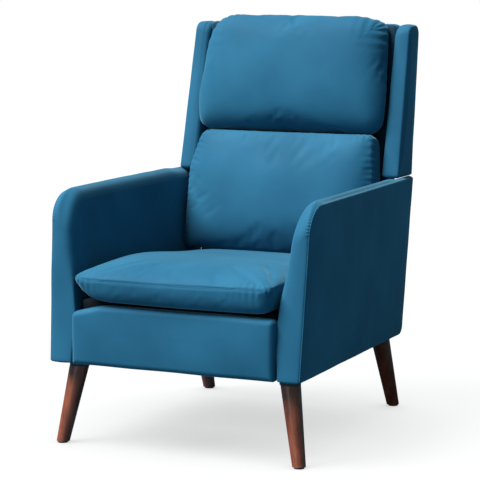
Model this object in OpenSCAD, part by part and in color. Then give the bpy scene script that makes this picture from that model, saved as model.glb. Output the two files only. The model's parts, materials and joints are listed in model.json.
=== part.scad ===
// Upholstered push-back recliner armchair with a pop-up footrest.
// Frame: X across the chair, Y from front to back, Z up from the floor. Millimetres.

/* [Arms and base] */
// Outer width across the arms, at the bottom of their front edges
arm_span = 680; // [670:1:700]
// Height of the underside above the floor
underside_z = 211; // [209:1:214]
// Height of the top of the arms
arm_top_z = 630; // [615:1:632]
// Length of an arm along its bottom edge
arm_bottom_len = 725; // [722:1:735]
// Thickness of an arm at its bottom
arm_thick = 64; // [62:1:66]
// Thickness of an arm at its top
arm_top_thick = 38; // [36:1:42]
// How far each arm leans outward from bottom to top
arm_flare = 12; // [8:1:14]
// How far each arm closes inward from front to back
arm_taper = 16; // [12:1:18]
// Radius of the rounded front top corner of an arm
arm_corner_r = 68; // [40:1:90]

/* [Legs] */
// Radius of a leg at its top
leg_top_r = 25.5; // [20:0.5:28]
// Radius of a leg at the floor
leg_foot_r = 16.5; // [12:0.5:18]
// Height of the black collar at the top of a leg
collar_h = 15; // [10:1:20]

/* [Back] */
// Angle that the back leans at rest
back_lean = 9.2; // [9:0.1:9.4]
// Height of the back frame
back_top_z = 1027; // [1020:1:1030]
// Half of the width across the wings, at their bottom
wing_half_w = 321; // [316:1:322]
// Underside of the wings, just above the arms
wing_bottom_z = 637; // [636:1:642]
// Radius of the rounded top corner at the front of a wing
wing_corner_r = 30; // [15:1:40]

/* [Cushions] */
// Half of the width of the seat cushion
seat_half_w = 277; // [270:1:279]
// Furthest forward point of the seat cushion
seat_nose_y = -30; // [-32:1:-20]
// Highest point of the seat cushion
seat_crown_z = 480; // [470:1:484]
// Half of the width of the back cushions
back_cushion_half_w = 274; // [268:1:276]
// Length of the lumbar cushion up the back
lumbar_len = 306; // [290:1:308]
// Length of the head pillow up the back
head_len = 322; // [300:1:326]

/* [Footrest] */
// Half of the width of the footrest panel
panel_half_w = 272; // [266:1:273]
// Top of the footrest panel when it is closed
panel_top_z = 358; // [350:1:360]
// How far the closed panel stands in front of the arms
panel_proud = 11; // [8:1:12]

/* [Mechanism] */
// Length of the main arm and of the control link, between pivots
main_len = 152; // [152:1:152]
// Length of the forearm from the main arm's pivot to the panel's pivot
fore_len = 138; // [138:1:138]
// Distance between the main arm's and the control link's pivots on the seat rail
pivot_gap = 44; // [44:1:44]
// Forward travel of the seat
glide_forward = 60; // [50:1:60]
// Rise of the seat over its travel
glide_lift = 30; // [28:1:32]
// Recline of the back from rest
recline = 32; // [28:1:32]

/* [Hidden] */

// Fineness of round parts
round_fn = 64;
// Straight pieces that draw a rounded corner
corner_steps = 12;

// Colours
velvet = [0.09, 0.40, 0.55];
velvet_dark = [0.05, 0.27, 0.38];
walnut = [0.29, 0.14, 0.10];
plywood = [0.80, 0.66, 0.45];
black = [0.08, 0.08, 0.08];
steel = [0.55, 0.57, 0.60];
foam = [0.93, 0.88, 0.70];
felt = [0.45, 0.45, 0.45];

// Design coordinates have Y = 0 at the bottom front edge of the arms.
// The part's origin is below the middle of the whole chair.
back_top_y = 863;
origin_y = (seat_nose_y + back_top_y) / 2;

// Arms
arm_top_front_y = 38;
arm_top_back_y = 772;
arm_rise = arm_top_z - underside_z;
arm_ref_len = 750;
arm_foot_r = 26;
cover_thick = 1.5;
foam_inset = 1.8;
frame_inset = 13;
cavity_inset = 12.5;

// Legs: foot and top centres of the right legs
front_foot = [323.5, 35.5];
front_top = [286, 65];
rear_foot = [276.3, 787.6];
rear_top = [268, 700];
glide_h = 4;
glide_inset = 4;
plate_t = 3;
bolt_r = 4;
bolt_gap = 0.2;
bolt_grip = 58;
disc_t = 0.5;

// Back: the rear face of the back meets this point, and leans from it
back_base_y = 747;
back_base_z = 315;
back_len = (back_top_z - back_base_z) / cos(back_lean);
back_rail_z = [345, back_len - 60];
cover_wall = 6;
cover_from = 30;
dowel_r = 4;
dowel_from = 250;
dowel_len = 44;

// Steel layers, from the base plate inward to the tie rod
steel_t = 3;
layer_gap = 0.5;
base_plate_x = 250;
bracket_x = 244;
seat_rail_x = 240;
control_x = seat_rail_x - layer_gap - steel_t;
fore_x = control_x - layer_gap - steel_t;
main_x = fore_x - layer_gap - steel_t;
foot_bracket_x = main_x - layer_gap - steel_t;
rod_x = foot_bracket_x - layer_gap - steel_t;

// Pivots: r is the pin, the bore is the running bore around it
pin_r = 4;
bore_r = 4.05;
link_w = 18;

// Footrest linkage at rest, seen from the side. Angles count from forward, up.
// A is the main arm's pivot, C the control link's, both on the seat rail.
pivot_a = [41, 325];
main_angle = -148;
fore_angle = 26;
ear_len = 22;
ear_angle = -75;
rod_len = 114.1;
rod_angle = 31.9;
panel_link = 46;
panel_link_angle = 160;
tube_along = 90;
tube_off = 38;
tube_r = 7;
open_pivot_r = 5.4;

// A step of length r at angle a, counted from forward, in Y and Z
function step(r, a) = [-r * cos(a), r * sin(a)];
pivot_c = pivot_a - step(pivot_gap, fore_angle);
pivot_m = pivot_a + step(main_len, main_angle);
pivot_q = pivot_c + step(main_len, main_angle);
pivot_e = pivot_m + step(ear_len, main_angle + ear_angle);
pivot_d = pivot_m + step(fore_len, fore_angle);
pivot_p = pivot_d + step(panel_link, panel_link_angle);
rod_end = pivot_e + step(rod_len, rod_angle);
tube_at = pivot_a + step(tube_along, main_angle) - step(tube_off, main_angle + 90);
tube_foot = pivot_a + step(tube_along, main_angle);

// Back pivot, and the guide pin below it
back_pivot = [705, 330];
guide_off = [8, -80];
guide_r = 6;
guide_slot_r = 7.2;
guide_steps = 8;
glide_pin_y = [170, 520];
glide_pin_z = 295;
roller_r = 8;
slot_r = 8.3;

// Footrest panel
board_front_y = 10;
board_back_y = 24;

// Seat frame
board_z = 341;
board_t = 22;
seat_board_x = 262;
spring_wire = 3.5;

// Place everything in the part's frame
module place() translate([0, -origin_y, 0]) children();

// Draw the right-hand piece, or its mirror image on the left
module side(s) mirror([s < 0 ? 1 : 0, 0, 0]) children();

// Draw a piece and its mirror image
module both() {
  children();
  mirror([1, 0, 0]) children();
}

// Extrude a Y-Z outline across X, from x0 over a width w
module across(x0, w) translate([x0, 0, 0]) rotate([90, 0, 90]) linear_extrude(w) children();

// A cylinder along X at a point [y, z]
module bar(p, x0, w, r) translate([x0, p[0], p[1]]) rotate([0, 90, 0])
  cylinder(h = w, r = r, $fn = round_fn);

// A straight flat piece along the line p-q, with half-round ends
module strip(p, q, x0, w, width) {
  length = norm(q - p);
  angle = atan2(q[1] - p[1], q[0] - p[0]);
  bar(p, x0, w, width / 2);
  bar(q, x0, w, width / 2);
  translate([x0, p[0], p[1]]) rotate([angle, 0, 0])
    translate([0, 0, -width / 2]) cube([w, length, width]);
}

// Points of a circular arc
function arc(c, r, a0, a1) = [for (i = [0:corner_steps])
  let(a = a0 + (a1 - a0) * i / corner_steps) [c[0] + r * cos(a), c[1] + r * sin(a)]];

// Leaning frame of the back: its rear face at Y = 0, its lower edge at Z = 0
module lean() translate([0, back_base_y, back_base_z]) rotate([-back_lean, 0, 0]) children();

/* Arms */

// Side outline of an arm, drawn in by i on every edge
module arm_outline(i) {
  corner = [arm_top_front_y + arm_corner_r - 4, arm_top_z - arm_corner_r];
  foot = [arm_bottom_len - arm_foot_r, underside_z + arm_foot_r];
  polygon(concat(
    [[i, underside_z + i]],
    arc(foot, arm_foot_r - min(i, arm_foot_r - 1), -90, 0),
    [[arm_top_back_y - i, arm_top_z - i]],
    arc(corner, arm_corner_r - i, 90, 176)
  ));
}

// Solid shape of the right arm, drawn in by i on every side
module arm_solid(i) {
  taper_angle = atan(arm_taper / arm_ref_len);
  outer_angle = atan(arm_flare / arm_rise);
  inner_angle = atan((arm_flare + arm_thick - arm_top_thick) / arm_rise);
  intersection() {
    across(arm_span / 2 - arm_thick - 60, arm_thick + 120) arm_outline(i);
    translate([arm_span / 2 - i, 0, underside_z]) rotate([0, outer_angle, taper_angle])
      translate([-300, -100, -100]) cube([300, 1100, 700]);
    translate([arm_span / 2 - arm_thick + i, 0, underside_z]) rotate([0, inner_angle, taper_angle])
      translate([0, -100, -100]) cube([300, 1100, 700]);
  }
}

// Room for the leg plates in the underside
module plate_pockets() {
  for (p = [front_top, rear_top])
    translate([p[0] - 30, p[1] - 30, underside_z - 1]) cube([60, 60, 5]);
}

module arm_frame(s) color(plywood) place() side(s) intersection() {
  arm_solid(frame_inset);
  union() {
    translate([200, 0, underside_z]) cube([200, 750, 75]);
    translate([200, 125, arm_top_z - 70]) cube([200, 640, 60]);
    translate([200, 65, underside_z + 75.2]) cube([200, 75, arm_rise - 145.4]);
    translate([200, 665, underside_z + 75.2]) cube([200, 110, arm_rise - 145.4]);
  }
}

module arm_foam(s) color(foam) place() side(s) difference() {
  arm_solid(foam_inset);
  arm_solid(cavity_inset);
  plate_pockets();
}

module arm_cover(s) color(velvet) place() side(s) difference() {
  arm_solid(0);
  arm_solid(cover_thick);
  plate_pockets();
}

/* Legs */

// Centre of a leg at height z
function leg_at(foot, top, z) = foot + (top - foot) * z / underside_z;

// Radius of a leg at height z
function leg_radius(z) = leg_foot_r + (leg_top_r - leg_foot_r) * z / underside_z;

// Thin level disc of a leg at height z
module leg_disc(foot, top, z) {
  at = leg_at(foot, top, z);
  translate([at[0], at[1], z]) cylinder(h = disc_t, r = leg_radius(z), $fn = round_fn);
}

// Frame whose Z axis runs from the foot to the top of a leg
module leg_axis(foot, top) {
  run = top - foot;
  translate([foot[0], foot[1], 0])
    rotate([0, atan2(norm(run), underside_z), atan2(run[1], run[0])]) children();
}

// Bore or bolt along a leg's axis, from low below the underside to high above it
module leg_bolt(foot, top, low, high, r) {
  reach = norm([top[0] - foot[0], top[1] - foot[1], underside_z]);
  leg_axis(foot, top) translate([0, 0, reach - low]) cylinder(h = low + high, r = r, $fn = round_fn);
}

// Splayed, tapered leg with flat ends, bored for its bolt
module leg(foot, top, s) color(walnut) place() side(s) difference() {
  hull() {
    leg_disc(foot, top, glide_h);
    leg_disc(foot, top, underside_z - collar_h - disc_t);
  }
  leg_bolt(foot, top, bolt_grip + 2, 80, bolt_r + bolt_gap);
}

module leg_collars() color(black) place() both() {
  for (p = [[front_foot, front_top], [rear_foot, rear_top]])
    leg_collar(leg_at(p[0], p[1], underside_z - collar_h / 2));
}

// Upright ring at the top of a leg, bored wide enough for the tilted bolt
module leg_collar(at) translate([at[0], at[1], underside_z - collar_h]) difference() {
  cylinder(h = collar_h, r1 = leg_top_r + 0.4, r2 = leg_top_r + 1.6, $fn = round_fn);
  translate([0, 0, -1]) cylinder(h = collar_h + 2, r = bolt_r + 4, $fn = round_fn);
}

module foot_glides() color(black) place() both() {
  for (p = [front_foot, rear_foot])
    translate([p[0], p[1], 0]) cylinder(h = glide_h, r = leg_foot_r - glide_inset, $fn = round_fn);
}

module leg_plates() color(steel) place() both() {
  for (p = [[front_foot, front_top], [rear_foot, rear_top]])
    difference() {
      translate([p[1][0] - 28, p[1][1] - 28, underside_z]) cube([56, 56, plate_t]);
      leg_bolt(p[0], p[1], bolt_grip, 10, bolt_r + bolt_gap);
    }
}

module hanger_bolts() color(steel) place() both() {
  for (p = [[front_foot, front_top], [rear_foot, rear_top]])
    leg_bolt(p[0], p[1], bolt_grip, 2, bolt_r);
}

/* Fixed base */

// Where the guide pin is when a share t of the recline is done, beside the base
function guide_at(t) = let(a = recline * t)
  back_pivot + [-glide_forward * t, glide_lift * t]
  + [guide_off[0] * cos(a) + guide_off[1] * sin(a), guide_off[1] * cos(a) - guide_off[0] * sin(a)];

// Direction of the guide pin's path at share t, as an angle in the Y-Z plane
function guide_angle(t) = let(d = guide_at(t + 0.01) - guide_at(t - 0.01)) atan2(d[1], d[0]);

// One long edge of the guide slot: edge is 1 or -1
function guide_edge(edge) = [for (i = [0:guide_steps])
  let(t = i / guide_steps, a = guide_angle(t) + edge * 90)
  guide_at(t) + guide_slot_r * [cos(a), sin(a)]];

// Outline of the curved slot that the guide pin's roller runs in
module guide_slot() polygon(concat(
  guide_edge(1), arc(guide_at(1), guide_slot_r, guide_angle(1) + 75, guide_angle(1) - 75),
  backwards(guide_edge(-1)),
  arc(guide_at(0), guide_slot_r, guide_angle(0) - 105, guide_angle(0) - 255)));

module base_plate(s) color(steel) place() side(s) difference() {
  translate([base_plate_x, 60, underside_z + 5]) cube([steel_t, 664, 122]);
  for (y = glide_pin_y)
    strip([y, glide_pin_z], [y - glide_forward, glide_pin_z + glide_lift],
      base_plate_x - 1, steel_t + 2, 2 * slot_r);
  across(base_plate_x - 1, steel_t + 2) guide_slot();
  for (y = screw_rows) bar([y, screw_z], base_plate_x - 1, steel_t + 2, 2.6);
}

screw_rows = [90, 270, 460, 640];
screw_z = 226;
rail_x = base_plate_x + steel_t;

module mounting_rails() color(plywood) place() both() difference() {
  translate([rail_x, 62, underside_z + 5]) cube([30, 630, 22]);
  arm_gap_plane();
  for (y = screw_rows) bar([y, screw_z], rail_x - 1, 8, 2.6);
}

// Half space outside the inner face of the right arm
module arm_gap_plane() {
  translate([arm_span / 2 - arm_thick - 0.3, 0, underside_z])
    rotate([0, atan((arm_flare + arm_thick - arm_top_thick) / arm_rise), atan(arm_taper / arm_ref_len)])
      translate([0, -100, -100]) cube([300, 1100, 700]);
}

module mounting_screws() color(steel) place() both() {
  for (y = screw_rows) {
    bar([y, screw_z], base_plate_x - 2, 8, 2.5);
    bar([y, screw_z], base_plate_x - 2, 2, 5.5);
  }
}

module rear_rail() color(plywood) place()
  translate([-249.5, 688, underside_z + 5]) cube([499, 35, 20]);

module rear_cover() color(velvet_dark) place()
  translate([-257, 725, underside_z + 4]) cube([514, 8, 90]);

module stretcher() color(plywood) place()
  translate([-249.5, 292, underside_z + 8]) cube([499, 24, 42]);

module dust_cover() color(black) place()
  translate([-240, 235, underside_z]) cube([480, 445, 1.2]);

/* Sliding seat */

module seat_rail(s) color(steel) place() side(s) difference() {
  union() {
    translate([seat_rail_x, 30, 285]) cube([steel_t, 686, board_z - 285]);
    translate([212, 30, board_z - steel_t]) cube([31, 610, steel_t]);
  }
  for (p = [pivot_a, pivot_c, back_pivot]) bar(p, seat_rail_x - 1, steel_t + 2, pin_r);
  for (y = glide_pin_y) bar([y, glide_pin_z], seat_rail_x - 1, steel_t + 2, pin_r);
}

// Pins that stay in the seat rails: footrest pivots, back pivots and glide axles
module seat_pins() color(steel) place() both() {
  bar(pivot_a, main_x - 2.2, seat_rail_x + steel_t + 2 - main_x + 2.2, pin_r);
  bar(pivot_a, main_x - 2.2, 2, 7);
  bar(pivot_a, seat_rail_x + steel_t, 2, 7);
  bar(pivot_c, control_x, seat_rail_x + steel_t - control_x + 2, pin_r);
  bar(pivot_c, seat_rail_x + steel_t, 2, 7);
  bar(back_pivot, seat_rail_x - 2, steel_t + 6, pin_r);
  bar(back_pivot, seat_rail_x - 2, 2, 8);
  for (y = glide_pin_y) {
    bar([y, glide_pin_z], seat_rail_x - 2, rail_x - seat_rail_x + 2, pin_r);
    bar([y, glide_pin_z], seat_rail_x - 2, 2, 8);
  }
}

module glide_rollers() color(black) place() both() {
  for (y = glide_pin_y) difference() {
    bar([y, glide_pin_z], base_plate_x - 0.5, 3.5, roller_r);
    bar([y, glide_pin_z], base_plate_x - 1.5, 6, bore_r);
  }
}

module seat_side_board(s) color(plywood) place() side(s)
  translate([seat_board_x - 50, 90.2, board_z]) cube([50, 509.6, board_t]);

module seat_front_board() color(plywood) place()
  translate([-seat_board_x, 34, board_z]) cube([2 * seat_board_x, 56, board_t]);

module seat_rear_board() color(plywood) place()
  translate([-seat_board_x, 600, board_z]) cube([2 * seat_board_x, 50, board_t]);

// One edge of a square serpentine wire: edge is 1 for its left side and -1 for its right
function wire_edge(bars, pitch, swing, edge) = [for (i = [0:bars - 1], end = [-1, 1])
  let(way = i % 2 == 0 ? 1 : -1, h = spring_wire / 2)
  [end * way * swing - edge * h, i * pitch + edge * way * h]];
function backwards(list) = [for (i = [len(list) - 1:-1:0]) list[i]];

// Flat serpentine spring along Y, with cross bars every pitch
module zigzag(bars, pitch, swing) linear_extrude(spring_wire)
  polygon(concat(wire_edge(bars, pitch, swing, 1), backwards(wire_edge(bars, pitch, swing, -1))));

module seat_springs() color(steel) place()
  for (x = [-160:80:160])
    translate([x, 68, board_z + board_t]) zigzag(26, 22, 20);

module spring_clips() color(steel) place()
  for (x = [-160:80:160], y = [52, 629])
    translate([x - 9, y, board_z + board_t]) cube([18, 13, 3.2]);

module seat_deck() color(felt) place()
  translate([-258, 36, board_z + board_t + 4]) cube([516, 606, 2]);

// Side outline of the seat cushion
module seat_outline() polygon([
  [14, 370], [-10, 380], [-24, 400], [seat_nose_y, 427], [-20, 450], [2, 465],
  [60, 474], [180, seat_crown_z], [320, 472], [450, 457], [560, 440], [640, 421], [640, 370]]);

module seat_cushion() color(velvet) place() intersection() {
  across(-300, 600) seat_outline();
  linear_extrude(600) polygon([[-252, seat_nose_y], [252, seat_nose_y], [seat_half_w, 10],
    [seat_half_w - 10, 640], [10 - seat_half_w, 640], [-seat_half_w, 10]]);
}

/* Reclining back */

module back_post(s) color(plywood) place() side(s) lean()
  translate([217, -34, 50]) cube([26.7, 24, back_len - 66]);

module back_rails() color(plywood) place() lean() {
  translate([-240, -58, 52]) cube([480, 23.5, 40]);
  for (z = back_rail_z) difference() {
    translate([-268.5, -58, z]) cube([537, 23.5, 40]);
    wing_dowel_bores(z + 20);
  }
}

// Bores for the dowels that hold the wings, at height z up the back
module wing_dowel_bores(z) translate([-300, -46, z]) rotate([0, 90, 0])
  cylinder(h = 600, r = dowel_r, $fn = round_fn);

module wing_dowels() color(steel) place() both() lean()
  for (z = back_rail_z) translate([dowel_from, -46, z + 20]) rotate([0, 90, 0])
    cylinder(h = dowel_len, r = dowel_r, $fn = round_fn);

module back_springs() color(steel) place() lean()
  for (x = [-180:120:180])
    translate([x, -58, 70]) rotate([90, 0, 0]) zigzag(27, 22.5, 22);

// Side outline of a wing, drawn in by i
module wing_outline(i) {
  top_front = [797, back_top_z];
  polygon(concat(
    [[692 + i, wing_bottom_z + i]],
    [[back_base_y + (wing_bottom_z - back_base_z) * tan(back_lean) - i, wing_bottom_z + i]],
    [[back_top_y - i, back_top_z - i]],
    arc([top_front[0] + wing_corner_r - 7, top_front[1] - wing_corner_r], wing_corner_r - i, 90, 165)
  ));
}

module wing_boards() color(plywood) place() both() difference() {
  across(282, 13) wing_outline(10);
  lean() for (z = back_rail_z) wing_dowel_bores(z + 20);
}

module wing_cover(s) color(velvet) place() side(s) difference() {
  intersection() {
    across(wing_inner_x, 60) wing_outline(0);
    translate([wing_half_w, 0, wing_bottom_z]) rotate([0, -1, 0])
      translate([-200, 0, -50]) cube([200, 1000, 600]);
  }
  across(wing_inner_x - 1, 16.8) wing_outline(9.5);
}
wing_inner_x = 279.7;

// Shell round the rear, the sides and the top of the back, with an apron below at its rear
module back_cover() color(velvet) place() lean() {
  difference() {
    back_block(0);
    back_block(cover_wall);
    for (z = back_rail_z) wing_dowel_bores(z + 20);
  }
  translate([-248, -cover_wall, 0]) cube([496, cover_wall, cover_from]);
}

// Solid shape of the back above its apron, drawn in by i, and open at its front and bottom if i > 0
module back_block(i) {
  low = cover_from - (i > 0 ? 1 : 0);
  step_z = 332;
  side_low = 257 - i;
  side_high = 275 - i;
  translate([0, -i, 0]) rotate([90, 0, 0]) linear_extrude(60)
    polygon([[-side_low, low], [side_low, low], [side_high, step_z], [side_high, back_len - i],
      [-side_high, back_len - i], [-side_high, step_z]]);
}

module lumbar_cushion() color(velvet) place() lean()
  translate([0, -64, 0]) rotate([90, 0, 0]) pillow_block(100, lumbar_len, 108);

module head_pillow() color(velvet) place() lean()
  translate([0, -64, 0]) rotate([90, 0, 0]) pillow_block(100 + lumbar_len + 4, head_len, 88);

// Cushion block: bottom at z0, rounded corners, t thick
module pillow_block(z0, h, t) {
  w = back_cushion_half_w;
  r = 24;
  linear_extrude(t) polygon(concat(
    arc([w - r, z0 + r], r, -90, 0), arc([w - r, z0 + h - r], r, 0, 90),
    arc([r - w, z0 + h - r], r, 90, 180), arc([r - w, z0 + r], r, 180, 270)));
}

module back_bracket(s) color(steel) place() side(s) difference() {
  union() {
    strip(back_pivot + guide_off, back_pivot, bracket_x, steel_t, 22);
    lean() translate([bracket_x, -50, 12]) cube([steel_t, 40, 146]);
  }
  bar(back_pivot, bracket_x - 1, steel_t + 2, bore_r);
  bar(back_pivot + guide_off, bracket_x - 1, steel_t + 2, pin_r);
}

// Guide pins of the back with their rollers in the base plate's curved slots
module guide_rollers() color(black) place() both() {
  bar(back_pivot + guide_off, bracket_x, rail_x - bracket_x - 4, pin_r);
  bar(back_pivot + guide_off, rail_x - 4, 3.8, guide_r);
}

/* Footrest */

module footrest_board() color(plywood) place()
  translate([-panel_half_w + 10, board_front_y, underside_z + 9])
    cube([2 * panel_half_w - 20, board_back_y - board_front_y, panel_top_z - underside_z - 18]);

module footrest_cushion() color(velvet) place() difference() {
  translate([-panel_half_w, -panel_proud, underside_z])
    cube([2 * panel_half_w, panel_proud + board_back_y, panel_top_z - underside_z]);
  translate([-panel_half_w + 9.7, board_front_y - 0.3, underside_z + 8.7])
    cube([2 * panel_half_w - 19.4, 60, panel_top_z - underside_z - 17.4]);
}

// Side outline of a footrest bracket: a tab behind the panel with an arm to both pivots
module footrest_bracket_outline() {
  lean_angle = 180 - panel_link_angle;
  polygon(concat(
    [[board_back_y, 250], [board_back_y + 26, 250], [board_back_y + 26, 296]],
    arc(pivot_p, link_w / 2, lean_angle - 90, lean_angle + 90),
    arc(pivot_d, link_w / 2, lean_angle + 90, 180),
    [[board_back_y, 302]]
  ));
}

module footrest_brackets() color(steel) place() both() {
  difference() {
    across(foot_bracket_x, steel_t) footrest_bracket_outline();
    bar(pivot_d, foot_bracket_x - 1, steel_t + 2, bore_r);
    bar(pivot_p, foot_bracket_x - 1, steel_t + 2, pin_r);
  }
  translate([foot_bracket_x - 34, board_back_y, 252]) cube([34, steel_t, 46]);
}

module footrest_pins() color(steel) place() both()
  bar(pivot_p, rod_x, foot_bracket_x + steel_t - rod_x, pin_r);

/* Footrest links */

module main_arms() color(steel) place() both() difference() {
  union() {
    strip(pivot_a, pivot_m, main_x, steel_t, 16);
    strip(pivot_m, pivot_e, main_x, steel_t, link_w);
    strip(tube_foot, tube_at, main_x, steel_t, link_w);
  }
  bar(pivot_a, main_x - 1, steel_t + 2, bore_r);
  bar(pivot_m, main_x - 1, steel_t + 2, pin_r);
  bar(pivot_e, main_x - 1, steel_t + 2, pin_r);
}

module torque_tube() color(steel) place() difference() {
  bar(tube_at, -main_x, 2 * main_x, tube_r);
  bar(tube_at, -main_x - 1, 2 * main_x + 2, tube_r - 1.5);
}

module main_arm_pins() color(steel) place() both() {
  bar(pivot_m, main_x, fore_x + steel_t - main_x, pin_r);
  bar(pivot_e, rod_x, main_x + steel_t - rod_x, pin_r);
}

module control_links() color(steel) place() both() difference() {
  strip(pivot_c, pivot_q, control_x, steel_t, link_w);
  bar(pivot_c, control_x - 1, steel_t + 2, bore_r);
  bar(pivot_q, control_x - 1, steel_t + 2, pin_r);
}

module control_link_pins() color(steel) place() both()
  bar(pivot_q, fore_x, control_x + steel_t - fore_x, pin_r);

module forearms() color(steel) place() both() difference() {
  strip(pivot_q, pivot_d, fore_x, steel_t, link_w);
  bar(pivot_q, fore_x - 1, steel_t + 2, bore_r);
  bar(pivot_m, fore_x - 1, steel_t + 2, bore_r);
  bar(pivot_d, fore_x - 1, steel_t + 2, pin_r);
}

module forearm_pins() color(steel) place() both()
  bar(pivot_d, foot_bracket_x, fore_x + steel_t - foot_bracket_x, pin_r);

module tie_rods() color(steel) place() both() difference() {
  strip(pivot_e, rod_end, rod_x, steel_t, 16);
  bar(pivot_e, rod_x - 1, steel_t + 2, bore_r);
  bar(rod_end, rod_x - 1, steel_t + 2, open_pivot_r);
}

arm_frame(-1);  // arm_frame_left
arm_frame(1);  // arm_frame_right
arm_foam(-1);  // arm_foam_left
arm_foam(1);  // arm_foam_right
arm_cover(-1);  // arm_cover_left
arm_cover(1);  // arm_cover_right
leg(front_foot, front_top, -1);  // leg_front_left
leg(front_foot, front_top, 1);  // leg_front_right
leg(rear_foot, rear_top, -1);  // leg_rear_left
leg(rear_foot, rear_top, 1);  // leg_rear_right
leg_collars();
foot_glides();
leg_plates();
hanger_bolts();
base_plate(-1);  // base_plate_left
base_plate(1);  // base_plate_right
mounting_rails();
mounting_screws();
rear_rail();
rear_cover();
stretcher();
dust_cover();
seat_rail(-1);  // seat_rail_left
seat_rail(1);  // seat_rail_right
seat_side_board(-1);  // seat_side_board_left
seat_side_board(1);  // seat_side_board_right
seat_front_board();
seat_rear_board();
seat_springs();
spring_clips();
seat_deck();
glide_rollers();
seat_pins();
seat_cushion();
back_post(-1);  // back_post_left
back_post(1);  // back_post_right
back_rails();
back_springs();
wing_boards();
wing_dowels();
wing_cover(-1);  // wing_cover_left
wing_cover(1);  // wing_cover_right
back_cover();
lumbar_cushion();
head_pillow();
back_bracket(-1);  // back_bracket_left
back_bracket(1);  // back_bracket_right
guide_rollers();
footrest_board();
footrest_cushion();
footrest_brackets();
footrest_pins();
main_arms();
torque_tube();
main_arm_pins();
control_links();
control_link_pins();
forearms();
forearm_pins();
tie_rods();
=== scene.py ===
"""Looks of a velvet push-back recliner armchair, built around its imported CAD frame.

Design coordinates are millimetres: X across the chair, Y back from the bottom front edge of the
arms, Z up from the floor. The back has coordinates of its own: X, Y from its rear face (forward
is negative) and Z up along it from its lower edge.
"""

import json
import math

import bpy
import numpy as np
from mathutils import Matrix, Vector, noise
from mathutils.bvhtree import BVHTree
from mathutils.kdtree import KDTree


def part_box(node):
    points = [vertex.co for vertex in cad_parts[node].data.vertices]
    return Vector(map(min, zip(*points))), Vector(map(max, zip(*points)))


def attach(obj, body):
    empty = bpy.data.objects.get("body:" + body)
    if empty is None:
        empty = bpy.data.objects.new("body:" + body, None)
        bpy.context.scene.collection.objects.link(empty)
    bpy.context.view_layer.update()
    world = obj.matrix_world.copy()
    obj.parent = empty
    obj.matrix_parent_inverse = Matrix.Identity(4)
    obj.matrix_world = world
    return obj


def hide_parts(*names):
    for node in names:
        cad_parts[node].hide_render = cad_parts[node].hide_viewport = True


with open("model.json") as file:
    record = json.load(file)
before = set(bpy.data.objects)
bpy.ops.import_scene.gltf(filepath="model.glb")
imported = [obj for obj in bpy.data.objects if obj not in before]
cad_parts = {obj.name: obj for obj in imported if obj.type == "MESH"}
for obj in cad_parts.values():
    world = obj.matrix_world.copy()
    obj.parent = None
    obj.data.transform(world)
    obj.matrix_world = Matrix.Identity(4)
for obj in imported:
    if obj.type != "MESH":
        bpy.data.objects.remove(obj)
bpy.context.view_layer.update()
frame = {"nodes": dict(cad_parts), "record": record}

MM = 0.001
FRONT_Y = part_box("arm_cover_right")[0].y  # design Y 0 in the row frame
BACK_LEAN = math.radians(9.2)
BACK_BASE = (747.0, 315.0)  # Y and Z of the lower edge of the back's rear face
SMALLEST_RADIUS = 0.4


# ---------------------------------------------------------------- coordinates

def to_row(points):
    """Design millimetres to metres in the row frame."""
    p = np.asarray(points, float)
    return p * MM + np.array([0, FRONT_Y, 0])


def lean(points):
    """The back's own millimetres to design millimetres."""
    p = np.asarray(points, float)
    c, s = math.cos(BACK_LEAN), math.sin(BACK_LEAN)
    y = BACK_BASE[0] + p[:, 1] * c + p[:, 2] * s
    z = BACK_BASE[1] - p[:, 1] * s + p[:, 2] * c
    return np.stack([p[:, 0], y, z], 1)


def smooth(t):
    """Eased step from 0 to 1."""
    t = np.clip(t, 0, 1)
    return t * t * (3 - 2 * t)


def wander(points, scale, seed):
    """Smooth noise from about -1 to 1 at each point; scale is the size of its waves."""
    shift = Vector((seed * 17.3, seed * 5.1, seed * 9.7))
    return np.array([noise.noise(Vector(p) / scale + shift) for p in points])


# ---------------------------------------------------------------- mesh making

def outline(corners, radii, inset, spacing, arcs, like=None):
    """Closed outline of a convex polygon with round corners, drawn in by inset.

    The number of points doesn't depend on inset or radii, so outlines of one polygon match. So do
    outlines of different polygons made like the same one.
    """
    c = np.array(corners, float)
    arcs = [arcs] * len(c) if isinstance(arcs, int) else arcs
    edge = np.roll(c, -1, 0) - c
    length = np.linalg.norm(edge, axis=1)
    d = edge / length[:, None]
    n = np.stack([-d[:, 1], d[:, 0]], 1)
    starts, ends, curves = [], [], []
    for i in range(len(c)):
        before, after = n[i - 1], n[i]
        corner = c[i] + inset * (before + after) / (1 + before @ after)
        turn = math.atan2(d[i - 1][0] * d[i][1] - d[i - 1][1] * d[i][0], d[i - 1] @ d[i])
        r = max(radii[i] - inset, SMALLEST_RADIUS)
        reach = r * math.tan(turn / 2)
        starts.append(corner - d[i - 1] * reach)
        ends.append(corner + d[i] * reach)
        centre = starts[-1] + before * r
        first = math.atan2(-before[1], -before[0])
        angles = first + turn * np.linspace(0, 1, arcs[i] + 1)
        curves.append(centre + r * np.stack([np.cos(angles), np.sin(angles)], 1))
    if like is not None:
        other = np.array(like, float)
        length = np.linalg.norm(np.roll(other, -1, 0) - other, axis=1)
    points = []
    for i in range(len(c)):
        points.append(curves[i])
        count = max(1, int(length[i] / spacing))
        share = np.arange(1, count + 1)[:, None] / (count + 1)
        points.append(ends[i] + (starts[(i + 1) % len(c)] - ends[i]) * share)
    return np.concatenate(points)


def scaled(p, scale):
    """Outline scaled about its middle."""
    middle = p.mean(0)
    return middle + (p - middle) * scale


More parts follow.
